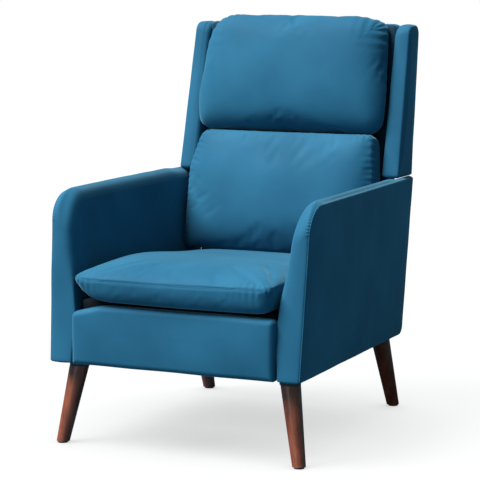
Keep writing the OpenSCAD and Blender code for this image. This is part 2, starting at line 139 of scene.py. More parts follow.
def mesh_object(name, verts, faces, material):
    """Smooth-shaded object from a list of points in metres and faces."""
    mesh = bpy.data.meshes.new(name)
    mesh.from_pydata([tuple(v) for v in verts], [], faces)
    mesh.validate()
    mesh.polygons.foreach_set("use_smooth", [True] * len(mesh.polygons))
    mesh.materials.append(material)
    mesh.update()
    obj = bpy.data.objects.new(name, mesh)
    bpy.context.scene.collection.objects.link(obj)
    return obj


def loft(name, rings, material):
    """Closed mesh through matching rings, with a fan of triangles at each end."""
    n = len(rings[0])
    verts = np.concatenate([*rings, [rings[0].mean(0)], [rings[-1].mean(0)]])
    faces = []
    for k in range(len(rings) - 1):
        a, b = k * n, (k + 1) * n
        faces += [(a + i, a + (i + 1) % n, b + (i + 1) % n, b + i) for i in range(n)]
    first, last, top = len(verts) - 2, len(verts) - 1, (len(rings) - 1) * n
    faces += [(first, (i + 1) % n, i) for i in range(n)]
    faces += [(last, top + i, top + (i + 1) % n) for i in range(n)]
    obj = mesh_object(name, verts, faces, material)
    face_outward(obj)
    return obj


def face_outward(obj):
    """Turns a closed mesh's faces outward, by the sign of its volume."""
    mesh = obj.data
    mesh.calc_loop_triangles()
    co = coordinates(obj)
    tri = np.array([t.vertices for t in mesh.loop_triangles])
    a, b, c = co[tri[:, 0]], co[tri[:, 1]], co[tri[:, 2]]
    if np.einsum("ij,ij->i", a, np.cross(b, c)).sum() < 0:
        mesh.flip_normals()


def coordinates(obj):
    """Vertices in metres, as rows of X, Y, Z."""
    co = np.zeros(len(obj.data.vertices) * 3)
    obj.data.vertices.foreach_get("co", co)
    return co.reshape(-1, 3)


def set_coordinates(obj, co):
    """Moves the vertices to rows of X, Y, Z in metres."""
    obj.data.vertices.foreach_set("co", np.asarray(co, float).ravel())
    obj.data.update()


def normals(obj):
    """Vertex normals, as rows of X, Y, Z."""
    out = np.zeros(len(obj.data.vertices) * 3)
    obj.data.vertices.foreach_get("normal", out)
    return out.reshape(-1, 3)


def subdivide(obj):
    """Applies one level of subdivision surface."""
    modifier = obj.modifiers.new("subdivision", "SUBSURF")
    modifier.levels = 1
    modifier.render_levels = 1
    apply_modifiers(obj)


def apply_modifiers(obj):
    """Makes the modified shape the object's own mesh."""
    bpy.context.view_layer.update()
    graph = bpy.context.evaluated_depsgraph_get()
    made = bpy.data.meshes.new_from_object(obj.evaluated_get(graph))
    obj.modifiers.clear()
    obj.data = made


def mirrored(obj, name):
    """Mirror image of a piece across the chair's middle."""
    mesh = obj.data.copy()
    other = bpy.data.objects.new(name, mesh)
    bpy.context.scene.collection.objects.link(other)
    set_coordinates(other, coordinates(obj) * np.array([-1, 1, 1]))
    mesh.flip_normals()
    return other


STITCH = 4.2
STITCH_GAP = 2.6
STITCH_RADIUS = 0.55
STITCH_PROFILE = ((0, 0.45), (0.2, 1.0), (0.8, 1.0), (1, 0.45))  # share of length, share of radius


def thread(name, path, close=False):
    """Row of stitches along a path of design points."""
    p = np.asarray(path, float)
    if close:
        p = np.concatenate([p, p[:1]])
    step = np.linalg.norm(np.diff(p, axis=0), axis=1)
    run = np.concatenate([[0], np.cumsum(step)])
    starts = np.arange(0, run[-1] - STITCH, STITCH + STITCH_GAP)
    verts, faces = [], []
    for s in starts:
        a = np.array([np.interp(s, run, p[:, k]) for k in range(3)])
        b = np.array([np.interp(s + STITCH, run, p[:, k]) for k in range(3)])
        axis = (b - a) / max(np.linalg.norm(b - a), 1e-6)
        side = np.cross(axis, [0.31, 0.17, 0.94])  # a direction no seam runs along
        side /= np.linalg.norm(side)
        up = np.cross(axis, side)
        base = len(verts)
        for share, size in STITCH_PROFILE:
            for q in range(6):
                turn = q * math.pi / 3
                out = side * math.cos(turn) + up * math.sin(turn)
                verts.append(a + (b - a) * share + out * STITCH_RADIUS * size)
        for k in range(3):
            for q in range(6):
                i, j = base + 6 * k + q, base + 6 * k + (q + 1) % 6
                faces.append((i, j, j + 6, i + 6))
        faces.append(tuple(base + q for q in reversed(range(6))))
        faces.append(tuple(base + 18 + q for q in range(6)))
    return mesh_object(name, to_row(verts), faces, THREAD)


# ---------------------------------------------------------------- materials

def new_material(name):
    """Material with its node tree, its shader and its texture coordinates."""
    material = bpy.data.materials.new(name)
    material.use_nodes = True
    tree = material.node_tree
    shader = tree.nodes["Principled BSDF"]
    coords = tree.nodes.new("ShaderNodeTexCoord")
    return material, tree, shader, coords


def noise_node(tree, coords, scale, detail=2.0, stretch=(1, 1, 1), rough=0.5):
    """Noise in the object's space; a small share in stretch draws it out along that axis."""
    mapping = tree.nodes.new("ShaderNodeMapping")
    mapping.inputs["Scale"].default_value = stretch
    tree.links.new(coords.outputs["Object"], mapping.inputs["Vector"])
    node = tree.nodes.new("ShaderNodeTexNoise")
    node.inputs["Scale"].default_value = scale
    node.inputs["Detail"].default_value = detail
    node.inputs["Roughness"].default_value = rough
    tree.links.new(mapping.outputs["Vector"], node.inputs["Vector"])
    return node.outputs["Fac"]


def ramp(tree, value, stops):
    """Colour ramp with stops of (position, colour)."""
    node = tree.nodes.new("ShaderNodeValToRGB")
    elements = node.color_ramp.elements
    while len(elements) < len(stops):
        elements.new(0.5)
    for element, (position, colour) in zip(elements, stops):
        element.position = position
        element.color = (*colour, 1)
    tree.links.new(value, node.inputs["Fac"])
    return node.outputs["Color"]


def spread(tree, value, low, high):
    """Maps the middle range of a noise value to low..high."""
    node = tree.nodes.new("ShaderNodeMapRange")
    node.inputs["From Min"].default_value = 0.3
    node.inputs["From Max"].default_value = 0.7
    node.inputs["To Min"].default_value = low
    node.inputs["To Max"].default_value = high
    tree.links.new(value, node.inputs["Value"])
    return node.outputs["Result"]


def mixed(tree, colour_a, colour_b, factor, kind="MIX"):
    """Blends two colours; each argument is a value or a socket."""
    node = tree.nodes.new("ShaderNodeMix")
    node.data_type = "RGBA"
    node.blend_type = kind
    for socket, value in (("Factor", factor), ("A", colour_a), ("B", colour_b)):
        target = [s for s in node.inputs if s.name == socket and s.enabled][0]
        if isinstance(value, (int, float)):
            target.default_value = value
        elif isinstance(value, tuple):
            target.default_value = (*value, 1)
        else:
            tree.links.new(value, target)
    return [s for s in node.outputs if s.enabled][0]


def bumped(tree, shader, heights):
    """Chain of bump nodes from (value, strength, distance in metres)."""
    before = None
    for value, strength, distance in heights:
        node = tree.nodes.new("ShaderNodeBump")
        node.inputs["Strength"].default_value = strength
        node.inputs["Distance"].default_value = distance
        tree.links.new(value, node.inputs["Height"])
        if before:
            tree.links.new(before, node.inputs["Normal"])
        before = node.outputs["Normal"]
    tree.links.new(before, shader.inputs["Normal"])


def velvet_material(name, deep, bright, sheen, sheen_weight):
    """Short-pile velvet: nap patches, brushed streaks and a fine pile."""
    material, tree, shader, coords = new_material(name)
    patches = noise_node(tree, coords, 5.5, 3.0)
    streaks = noise_node(tree, coords, 38.0, 4.0, (1.0, 0.8, 0.35), 0.6)
    pile = noise_node(tree, coords, 900.0, 2.0)
    rows = noise_node(tree, coords, 420.0, 1.0, (1.0, 1.0, 0.5))
    middle = tuple((a + b) / 2 for a, b in zip(deep, bright))
    nap = ramp(tree, patches, [(0.32, deep), (0.5, middle), (0.68, bright)])
    brushed = mixed(tree, nap, bright, spread(tree, streaks, 0.0, 0.12))
    grain = ramp(tree, pile, [(0.3, (0.80, 0.82, 0.84)), (0.7, (1.0, 1.0, 1.0))])
    colour = mixed(tree, brushed, grain, 0.7, "MULTIPLY")
    tree.links.new(colour, shader.inputs["Base Color"])
    tree.links.new(spread(tree, streaks, 0.67, 0.75), shader.inputs["Roughness"])
    shader.inputs["Specular IOR Level"].default_value = 0.12
    shader.inputs["Sheen Weight"].default_value = sheen_weight
    shader.inputs["Sheen Roughness"].default_value = 0.38
    shader.inputs["Sheen Tint"].default_value = (*sheen, 1)
    bumped(tree, shader, [(streaks, 0.05, 0.0016), (rows, 0.12, 0.0004), (pile, 0.22, 0.00035)])
    return material


def wood_material(name, dark, light, scale, along, gloss):
    """Wood with grain along one axis and pores.

    gloss is its roughness, and wood under 0.5 has a clear finish.
    """
    finished = gloss < 0.5
    middle = tuple((a + b) / 2 for a, b in zip(dark, light))
    material, tree, shader, coords = new_material(name)
    stretch = [scale] * 3
    stretch[along] = scale * 0.07
    grain = noise_node(tree, coords, 1.0, 6.0, stretch, 0.65)
    pores = noise_node(tree, coords, 6.0, 3.0, stretch)
    figure = noise_node(tree, coords, 9.0, 2.0, (1, 1, 0.3))
    body = ramp(tree, grain, [(0.3, dark), (0.52, middle), (0.72, light)])
    bands = ramp(tree, figure, [(0.3, (0.72, 0.7, 0.7)), (0.7, (1, 1, 1))])
    shaded = mixed(tree, body, bands, 0.8, "MULTIPLY")
    pits = ramp(tree, pores, [(0.34, (0.55, 0.5, 0.5)), (0.46, (1, 1, 1))])
    pored = mixed(tree, shaded, pits, 0.6, "MULTIPLY")
    tree.links.new(pored, shader.inputs["Base Color"])
    tree.links.new(spread(tree, grain, gloss, gloss + 0.16), shader.inputs["Roughness"])
    shader.inputs["Coat Weight"].default_value = 0.25 if finished else 0.0
    shader.inputs["Coat Roughness"].default_value = 0.34
    shader.inputs["Specular IOR Level"].default_value = 0.4 if finished else 0.03
    bumped(tree, shader, [(grain, 0.12, 0.0006), (pores, 0.2, 0.0003)])
    return material


def steel_material(name):
    """Zinc-plated steel with faint scratches and a cloudy tint."""
    material, tree, shader, coords = new_material(name)
    clouds = noise_node(tree, coords, 30.0, 4.0)
    scratches = noise_node(tree, coords, 260.0, 3.0, (1, 0.06, 1))
    colour = ramp(tree, clouds, [(0.3, (0.34, 0.35, 0.37)), (0.7, (0.56, 0.57, 0.58))])
    tree.links.new(colour, shader.inputs["Base Color"])
    tree.links.new(spread(tree, scratches, 0.28, 0.5), shader.inputs["Roughness"])
    shader.inputs["Metallic"].default_value = 1.0
    bumped(tree, shader, [(scratches, 0.12, 0.0002)])
    return material


def moulded_material(name, dark, light):
    """Moulded black plastic with a fine spark-eroded grain."""
    material, tree, shader, coords = new_material(name)
    grain = noise_node(tree, coords, 700.0, 2.0)
    clouds = noise_node(tree, coords, 40.0, 2.0)
    tree.links.new(ramp(tree, clouds, [(0.3, dark), (0.7, light)]), shader.inputs["Base Color"])
    tree.links.new(spread(tree, grain, 0.38, 0.55), shader.inputs["Roughness"])
    bumped(tree, shader, [(grain, 0.25, 0.0002)])
    return material


def cloth_material(name, dark, light, scale, rough):
    """Plain woven or felted cloth, from crossed threads and loose fibre."""
    material, tree, shader, coords = new_material(name)
    warp = noise_node(tree, coords, scale, 1.0, (1, 0.12, 0.6))
    weft = noise_node(tree, coords, scale, 1.0, (0.12, 1, 0.6))
    fibre = noise_node(tree, coords, scale * 0.5, 5.0)
    threads = mixed(tree, ramp(tree, warp, [(0.35, dark), (0.65, light)]),
                    ramp(tree, weft, [(0.35, dark), (0.65, light)]), 0.5)
    colour = mixed(tree, threads, ramp(tree, fibre, [(0.3, dark), (0.7, light)]), 0.4)
    tree.links.new(colour, shader.inputs["Base Color"])
    tree.links.new(spread(tree, fibre, rough - 0.08, rough + 0.08), shader.inputs["Roughness"])
    shader.inputs["Specular IOR Level"].default_value = 0.12
    bumped(tree, shader, [(warp, 0.3, 0.0004), (weft, 0.3, 0.0004), (fibre, 0.2, 0.0005)])
    return material


VELVET = velvet_material(
    "velvet_teal", (0.0085, 0.081, 0.150), (0.0150, 0.113, 0.198), (0.44, 0.82, 0.92), 0.36)
# Darker velvet for the back's front face behind the cushions, as painted shade.
SHADE_VELVET = velvet_material(
    "painted_shade_teal", (0.004, 0.026, 0.046), (0.007, 0.040, 0.066), (0.4, 0.7, 0.8), 0.05)
DECK = cloth_material("deck_fabric", (0.0012, 0.0030, 0.0050), (0.0040, 0.0080, 0.0115), 900.0, 0.9)
THREAD = cloth_material("seam_thread", (0.03, 0.15, 0.23), (0.08, 0.25, 0.35), 2500.0, 0.75)
WALNUT = wood_material(
    "walnut_stain", (0.100, 0.0190, 0.0085), (0.320, 0.082, 0.034), 60.0, 2, 0.34)
PLYWOOD = wood_material("birch_plywood", (0.38, 0.25, 0.14), (0.62, 0.46, 0.29), 45.0, 1, 0.55)
STEEL = steel_material("zinc_steel")
PLASTIC = moulded_material("black_plastic_grain", (0.008, 0.008, 0.009), (0.02, 0.02, 0.021))
# Near-black plywood: painted shade for the boards seen in gaps.
GAP_SHADE_PLYWOOD = wood_material(
    "gap_shade_plywood", (0.0006, 0.0010, 0.0014), (0.0020, 0.0028, 0.0036), 45.0, 1, 0.8)
FELT = cloth_material("deck_felt", (0.10, 0.10, 0.10), (0.24, 0.24, 0.23), 500.0, 0.95)
FOAM = cloth_material("open_foam", (0.55, 0.49, 0.33), (0.78, 0.72, 0.52), 350.0, 0.9)
DUST = cloth_material("dust_fabric_weave", (0.006, 0.006, 0.006), (0.03, 0.03, 0.03), 1200.0, 0.9)

SLOT_MATERIALS = {
    "velvet": VELVET, "leg_wood": WALNUT, "frame_wood": PLYWOOD, "steel": STEEL,
    "black_plastic": PLASTIC, "dust_fabric": DUST, "felt": FELT, "foam": FOAM,
}

# Boards that show in gaps between the cushions and the frame, painted near-black as the shade in
# those gaps.
SHADED_GAP_BOARDS = ("seat_front", "seat_side", "seat_rear", "back_post", "back_rails")


def dress_cad_nodes():
    """Gives each carried-over CAD node the detailed material of its slot, except the boards in the
    gaps, which get near-black painted shade.
    """
    for part in frame["record"]["subparts"]:
        obj = frame["nodes"][part["node"]]
        obj.data.materials.clear()
        # Boards in the gaps get near-black plywood as painted shade.
        dark = part["node"].startswith(SHADED_GAP_BOARDS)
        obj.data.materials.append(GAP_SHADE_PLYWOOD if dark else SLOT_MATERIALS[part["material_slot"]])


# ---------------------------------------------------------------- upholstered frames

BODY_BOTTOM = 211  # height of the lower edge of the arms and the front panel
ARM_CORNERS = [(0, BODY_BOTTOM), (725, BODY_BOTTOM), (772, 630), (40.3, 630)]
ARM_OUTER_RADII = [5, 26, 8, 76]
ARM_INNER_RADII = [5, 26, 8, 104]
ARM_ARCS = [4, 10, 5, 60]
ARM_OUTER_X = (340, 12)  # X at the bottom front and gain up to the top
ARM_INNER_X = (276, 38)
ARM_HEIGHT = 419
ARM_TAPER = 16 / 750  # how much the arms turn in towards the rear


def arm_x(y, z, face):
    """X of an arm's plane at y, z: face is (x at the bottom front, gain up to the top)."""
    return face[0] + face[1] * (z - BODY_BOTTOM) / ARM_HEIGHT - ARM_TAPER * y


def arm_inner_x(p):
    """X of the right arm's inner face, which is a little fuller near its front edge."""
    t = np.clip((p[:, 1] - BODY_BOTTOM) / ARM_HEIGHT, 0, 1)
    fuller = 20 * smooth(t / 0.3) * (1 - 0.6 * t) * (1 - smooth(p[:, 0] / 260))
    return arm_x(p[:, 0], p[:, 1], ARM_INNER_X) - fuller


def arm_crown(p, size):
    """Padding on the arm's faces, full in the middle."""
    t = (p[:, 1] - BODY_BOTTOM) / ARM_HEIGHT
    ends = swell(p[:, 0] - 40.3 * t, 190, 1) * swell(725 + 47 * t - p[:, 0], 150, 1)
    return size * ends * swell(p[:, 1] - BODY_BOTTOM, 120, 1) * swell(630 - p[:, 1], 120, 1)


def arm_outline(share, inset):
    """Outline of the right arm seen from the side; share is 0 at its outer face, 1 at its inner."""
    radii = [a + (b - a) * share ** 2 for a, b in zip(ARM_OUTER_RADII, ARM_INNER_RADII)]
    return outline(ARM_CORNERS, radii, inset, 14.0, ARM_ARCS)


def arm_ring(share, inset, depth, scale=1.0):
    """One ring of the right arm. depth is how far in from its outer face the outer end starts."""
    p = arm_outline(share, inset)
    p = scaled(p, scale)
    outer = arm_x(p[:, 0], p[:, 1], ARM_OUTER_X) - depth
    if scale < 1:
        outer = outer + arm_crown(p, 4.5)
    inner = arm_inner_x(p) + arm_roll(p)
    return np.stack([outer * (1 - share) + inner * share, p[:, 0], p[:, 1]], 1)


def arm_roll(p):
    """Radius of the arm's inner edge: crisp beside the panel and soft above it."""
    return 6 + 15 * smooth((p[:, 1] - 380) / 110)


def raise_top(ring, share):
    """Pads an arm's top up towards its inner edge, in front of the wing."""
    w = smooth((ring[:, 2] - 575) / 50) * (1 - smooth((ring[:, 1] - 600) / 80))
    return ring + np.array([0, 0, 6.5]) * (w * share)[:, None]


def face_scales(count):
    """Scales of the rings that fill a face, from its middle outward."""
    return [(k + 0.5) / count for k in range(count)]


def soften(rings, first, last, times):
    """Smooths a run of matching rings across their edges."""
    r = np.array(rings[first:last])
    for _ in range(times):
        r[1:-1] = (r[:-2] + 2 * r[1:-1] + r[2:]) / 4
    rings[first:last] = list(r)


def arm_rings():
    """Rings of the right arm from its outer face to its inner one, and which is the seam."""
    rings = [arm_ring(0, 16, 0, s) for s in face_scales(16)]
    rings += [arm_ring(0, i, d) for i, d in ((16, 0), (9, 0.2), (5, 0.7), (2.6, 1.7), (1.7, 2.6))]
    seam = len(rings)
    rings.append(arm_ring(0, 2.6, 3.6))
    rings += [arm_ring(0, i, d) for i, d in ((0.9, 4.8), (0.1, 6.5))]
    first = len(rings) + 1
    for k in range(1, 13):
        share = k / 12
        ring = arm_ring(share, -1.6 * math.sin(math.pi * share), 7.0)
        rings.append(raise_top(ring, math.sin(math.pi / 2 * share)))
    edge, further = arm_outline(1, 0), arm_outline(1, 10)
    roll = arm_roll(edge)
    for k in range(1, 10):
        a = math.pi / 2 * k / 9
        p = edge + (further - edge) / 10 * (roll * (1 - math.cos(a)))[:, None]
        x = arm_inner_x(p) + roll * (1 - math.sin(a))
        rings.append(raise_top(np.stack([x, p[:, 0], p[:, 1]], 1), math.cos(a) ** 0.5))
    for s in reversed(face_scales(16)):
        q = scaled(p, s)
        x = arm_inner_x(q) - arm_crown(q, 4.0)
        rings.append(np.stack([x, q[:, 0], q[:, 1]], 1))
    soften(rings, first, len(rings) - 15, 10)
    return rings, seam


def pucker(rings, seam, centre, amplitude, wavelength, where):
    """Gathers the band's fabric into small folds beside a seam ring."""
    ring = rings[seam]
    step = np.linalg.norm(np.diff(ring, axis=0, append=ring[:1]), axis=1)
    run = np.concatenate([[0], np.cumsum(step)[:-1]])
    irregular = wander(ring, 30.0, 3) * 2.2
    wave = np.sin(2 * math.pi * run / wavelength + irregular)
    strength = where(ring) * amplitude
    for offset, share in ((0, 0.5), (1, 1.0), (2, 1.0), (3, 0.55), (4, 0.2)):
        k = seam + offset
        away = rings[k] - centre
        away[:, 0] *= 0.4
        away /= np.linalg.norm(away, axis=1)[:, None]
        rings[k] = rings[k] + away * (wave * strength * share)[:, None]


def ripple(obj, size, seed, scale=90.0):
    """Slight unevenness of stuffed fabric, along the normals. Sizes are in millimetres."""
    co = coordinates(obj)
    amount = wander(co / MM, scale, seed) * size * MM
    set_coordinates(obj, co + normals(obj) * amount[:, None])


def corner_weight(ring, y, z, reach):
    """1 near a point seen from the side, falling to 0 at 1.6 times reach."""
    distance = np.hypot(ring[:, 1] - y, ring[:, 2] - z)
    return smooth(1.6 - distance / reach)


def make_arms():
    """Both arms, with an outer seam that puckers round the front corner."""
    rings, seam = arm_rings()
    centre = np.array([310.0, 400.0, 400.0])
    pucker(rings, seam, centre, 1.0, 7.5, lambda r: corner_weight(r, 56, 606, 75))
    path = rings[seam] + np.array([0.9, 0, 0])
    right = loft("arm_right_upholstery", [to_row(r) for r in rings], VELVET)
    ripple(right, 0.9, 1)
    stitches = thread("arm_right_stitches", path, close=True)
    left = mirrored(right, "arm_left_upholstery")
    left_stitches = mirrored(stitches, "arm_left_stitches")
    for side, obj, sewn in (("right", right, stitches), ("left", left, left_stitches)):
        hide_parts(f"arm_cover_{side}", f"arm_foam_{side}")
        for piece in (obj, sewn):
            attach(piece, "base")


WING_CORNERS = [(691, 629.5), (798, 629.5), (863, 1027), (787, 1027)]
WING_RADII = [8, 6, 24, 30]
WING_INNER_RADII = [8, 6, 24, 40]
WING_X = (270.5, 321.0)  # inner and outer face
WING_ROLL = 15  # radius of the inner edge


def wing_ring(share, inset, depth, scale=1.0, crown=0.0):
    """One ring of the right wing. share is 0 at its outer face and 1 at its inner face."""
    radii = [a + (b - a) * share for a, b in zip(WING_RADII, WING_INNER_RADII)]
    p = outline(WING_CORNERS, radii, inset, 12.0, [5, 5, 10, 14])
    p = scaled(p, scale)
    outer = WING_X[1] - 0.0175 * (p[:, 1] - 637) - depth + crown
    inner = WING_X[0] + depth - crown
    return np.stack([outer * (1 - share) + inner * share, p[:, 0], p[:, 1]], 1)


def make_wings():
    """Both wings: slabs with a soft inner edge."""
    rings = [wing_ring(0, 13, 0, s, 2.5 * (1 - s ** 4)) for s in face_scales(7)]
    rings += [wing_ring(0, i, d) for i, d in ((13, 0), (8, 0.2), (4.4, 0.8), (2.2, 2), (0.9, 4),
                                              (0.2, 6.5))]
    r = WING_ROLL
    for k in range(1, 6):
        share = k / 6
        bulge = -1.2 * math.sin(math.pi * share)
        rings.append(wing_ring(share, bulge, 8 * (1 - share) + r * share))
    for k in range(0, 9):
        a = math.pi / 2 * k / 8
        rings.append(wing_ring(1, r * (1 - math.cos(a)), r * (1 - math.sin(a))))
    rings += [wing_ring(1, r, 0, s, 1.5 * (1 - s ** 4)) for s in reversed(face_scales(7))]
    right = loft("wing_right_upholstery", [to_row(q) for q in rings], VELVET)
    ripple(right, 0.7, 2)
    left = mirrored(right, "wing_left_upholstery")
    for side, obj in (("right", right), ("left", left)):
        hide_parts(f"wing_cover_{side}")
        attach(obj, "back")


BACK_LEN = 715.0
BACK_CORNERS = [(-257, 0), (257, 0), (275, 332), (275, BACK_LEN), (-275, BACK_LEN), (-275, 332)]
BACK_RADII = [6, 6, 40, 14, 14, 40]
SHADE_PAINTED_FORWARD_OF = -59  # the back's front face, which gets the darker velvet of painted shade, is further forward than this
SEWN_FROM = 90  # no stitches lower, where the back passes the base plates


def back_ring(inset, depth, scale=1.0, crown=0.0):
    """One ring of the back's shell: depth is how far in front of its rear face."""
    p = outline(BACK_CORNERS, BACK_RADII, inset, 16.0, 6)
    p = scaled(p, scale)
    y = np.full(len(p), -depth + crown)
    return lean(np.stack([p[:, 0], y, p[:, 1]], 1))


def make_back_shell():
    """Back with velvet behind and at its edges, and darker velvet on its front face behind the
    cushions as painted shade.
    """
    rings = [back_ring(14, 0, s, 3.0 * (1 - s ** 4)) for s in face_scales(14)]
    rings += [back_ring(i, d) for i, d in ((14, 0), (8, 0.2), (4, 0.8), (2, 2))]
    seam = len(rings)
    rings.append(back_ring(2.4, 3.4))
    rings += [back_ring(i, d) for i, d in ((0.6, 4.4), (0, 7), (-0.5, 20), (-0.6, 38), (0, 52),
                                           (1.2, 57))]
    rings += [back_ring(i, d) for i, d in ((4, 60.5), (9, 62), (16, 62.5))]
    rings += [back_ring(16, 62.5, s) for s in reversed(face_scales(7))]
    shell = loft("back_shell_upholstery", [to_row(r) for r in rings], VELVET)
    # The front faces behind the cushions get the darker velvet: painted shade.
    shell.data.materials.append(SHADE_VELVET)
    for face in shell.data.polygons:
        if in_back([face.center])[0, 1] < SHADE_PAINTED_FORWARD_OF:
            face.material_index = 1
    above_plates = in_back(to_row(rings[seam]))[:, 2] > SEWN_FROM
    stitches = thread("back_shell_stitches", rings[seam][above_plates])
    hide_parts("back_cover")
    for piece in (shell, stitches):
        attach(piece, "back")


def make_rear_cover():
    """Padded panel that closes the rear of the base under the back."""
    corners = [(-257, 213), (257, 213), (257, 305), (-257, 305)]

    def ring(inset, y, scale=1.0):
        p = outline(corners, [8] * 4, inset, 16.0, 5)
        p = scaled(p, scale)
        return np.stack([p[:, 0], np.full(len(p), y), p[:, 1]], 1)

    rings = [ring(7, 733 - 1.0 * s ** 4, s) for s in face_scales(5)]
    rings += [ring(i, y) for i, y in ((7, 732), (3, 731), (0.8, 729), (0, 727), (1, 725.5),
                                      (4, 725))]
    rings += [ring(7, 725, s) for s in reversed(face_scales(3))]
    panel = loft("rear_cover_upholstery", [to_row(r) for r in rings], VELVET)
    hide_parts("rear_cover")
    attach(panel, "base")


PANEL_CORNERS = [(-273, BODY_BOTTOM), (273, BODY_BOTTOM), (273, 360), (150, 363), (-190, 362),
                 (-273, 341)]
PANEL_RADII = [5, 5, 12, 160, 130, 16]
PANEL_FRONT = -9  # Y where the front edge's rounding meets the face
PANEL_ROUND = 13
PANEL_CROWN = 4.5


def panel_ring(inset, y, scale=1.0, crown=0.0):
    """One ring of the front panel, moved forward by crown in its middle."""
    p = outline(PANEL_CORNERS, PANEL_RADII, inset, 14.0, [4, 4, 6, 14, 14, 6])
    p = scaled(p, scale)
    full = swell(273 - np.abs(p[:, 0]), 90, 1) * swell(p[:, 1] - BODY_BOTTOM, 70, 1)
    full = full * swell(363 - p[:, 1], 70, 1)
    return np.stack([p[:, 0], y - crown * full, p[:, 1]], 1)


def make_footrest_panel():
    """Padded front panel, which is the footrest when it swings out."""
    r = PANEL_ROUND
    rings = [panel_ring(r, PANEL_FRONT, s, PANEL_CROWN) for s in face_scales(14)]
    for k in range(8):
        a = math.pi / 2 * (1 - k / 7)
        y = PANEL_FRONT + r * (1 - math.sin(a))
        rings.append(panel_ring(r * (1 - math.cos(a)), y, 1.0, PANEL_CROWN * math.sin(a)))
    rings += [panel_ring(0, 14), panel_ring(0.6, 22), panel_ring(2.5, 24)]
    rings += [panel_ring(8, 24.2), panel_ring(12, 24.3)]
    rings += [panel_ring(12, 24.3, s) for s in reversed(face_scales(4))]
    panel = loft("footrest_panel_upholstery", [to_row(q) for q in rings], VELVET)
    ripple(panel, 0.9, 5, 120.0)
    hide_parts("footrest_cushion", "footrest_board")
    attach(panel, "footrest")


def make_deck():
    """Dark platform cloth stretched over the seat boards, under the cushion."""
    corners = [(-262.6, 33.4), (262.6, 33.4), (262.6, 650.6), (-262.6, 650.6)]

    def ring(inset, z, scale=1.0):
        p = outline(corners, [5] * 4, inset, 22.0, 4)
        p = scaled(p, scale)
        return np.stack([p[:, 0], p[:, 1], np.full(len(p), z)], 1)

    rings = [ring(12, 369.2, s) for s in face_scales(5)]
    rings += [ring(i, z) for i, z in ((12, 369.2), (5, 368.6), (1.5, 367), (0, 363.5), (0, 352),
                                      (0, 342), (0.3, 341.4), (0.55, 342), (0.55, 352), (0.7, 362.8),
                                      (3, 365), (6, 367.4), (12, 368))]
    rings += [ring(12, 368, s) for s in reversed(face_scales(5))]
    deck = loft("seat_platform_cloth", [to_row(r) for r in rings], DECK)
    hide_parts("seat_deck")
    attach(deck, "seat")


# ---------------------------------------------------------------- stuffed cushions

VOXEL = 6.5
HELD = 6  # cloth this close to a seam doesn't move in the simulation
SHARP = 5  # cloth this close to a seam isn't smoothed
SMOOTHED_OVER = 22  # smoothing grows to its full strength over this distance
SMOOTHINGS = 25
GROOVE_WIDTH = 3.2


def remeshed(obj):
    """Replaces the mesh by an even one with faces about VOXEL across."""
    modifier = obj.modifiers.new("remesh", "REMESH")
    modifier.mode = "VOXEL"
    modifier.voxel_size = VOXEL * MM
    modifier.use_smooth_shade = True
    apply_modifiers(obj)


def spaced(path, step):
    """Points along a closed path, step apart."""
    p = np.concatenate([path, path[:1]])
    run = np.concatenate([[0], np.cumsum(np.linalg.norm(np.diff(p, axis=0), axis=1))])
    at = np.arange(0, run[-1], step)
    return np.stack([np.interp(at, run, p[:, k]) for k in range(3)], 1), at


def from_path(points, path):
    """Distance from each point to a path, and which path point is nearest."""
    tree = KDTree(len(path))
    for i, q in enumerate(path):
        tree.insert(q, i)
    tree.balance()
    found = [tree.find(p) for p in points]
    return np.array([f[2] for f in found]), np.array([f[1] for f in found])


PUFF_FRAMES = 20


def puff(obj, pins, pressure, growth, cap):
    """pins is 0 (free) to 1 (held) per vertex, growth the share by which the fabric is too large for
    the case, and cap the most that a point moves, in millimetres.
    """
    start = coordinates(obj)
    group = obj.vertex_groups.new(name="held")
    for i in np.flatnonzero(pins > 0.01):
        group.add([int(i)], float(pins[i]), "REPLACE")
    modifier = obj.modifiers.new("cloth", "CLOTH")
    cloth = modifier.settings
    cloth.quality = 5
    cloth.mass = 0.25
    cloth.tension_stiffness = 12
    cloth.compression_stiffness = 12
    cloth.shear_stiffness = 4
    cloth.bending_stiffness = 1.5
    cloth.tension_damping = 12
    cloth.compression_damping = 12
    cloth.air_damping = 3
    cloth.vertex_group_mass = "held"
    cloth.use_pressure = True
    cloth.uniform_pressure_force = pressure
    cloth.shrink_min = -growth
    cloth.shrink_max = -growth
    cloth.effector_weights.gravity = 0
    modifier.collision_settings.use_collision = False
    modifier.collision_settings.use_self_collision = False
    modifier.point_cache.frame_start = 1
    modifier.point_cache.frame_end = PUFF_FRAMES
    for f in range(1, PUFF_FRAMES + 1):
        bpy.context.scene.frame_set(f)
    graph = bpy.context.evaluated_depsgraph_get()
    made = np.zeros(len(start) * 3)
    obj.evaluated_get(graph).data.vertices.foreach_get("co", made)
    moved = made.reshape(-1, 3) - start
    size = np.linalg.norm(moved, axis=1)
    limit = cap * MM
    shorter = np.where(size > 1e-9, limit * np.tanh(size / limit) / np.maximum(size, 1e-9), 1)
    obj.modifiers.remove(modifier)
    obj.vertex_groups.clear()
    set_coordinates(obj, start + moved * shorter[:, None])
    bpy.context.scene.frame_set(1)


def relax(obj, weight, times):
    """Evens a mesh out: each vertex moves towards its neighbours' middle, by weight per vertex."""
    mesh = obj.data
    edges = np.zeros(len(mesh.edges) * 2, int)
    mesh.edges.foreach_get("vertices", edges)
    a, b = edges[0::2], edges[1::2]
    co = coordinates(obj)
    count = len(co)
    degree = np.bincount(a, minlength=count) + np.bincount(b, minlength=count)
    share = 0.6 * np.asarray(weight)[:, None]
    for _ in range(times):
        total = np.zeros_like(co)
        for k in range(3):
            total[:, k] = np.bincount(a, co[b, k], count) + np.bincount(b, co[a, k], count)
        co += (total / degree[:, None] - co) * share
    set_coordinates(obj, co)


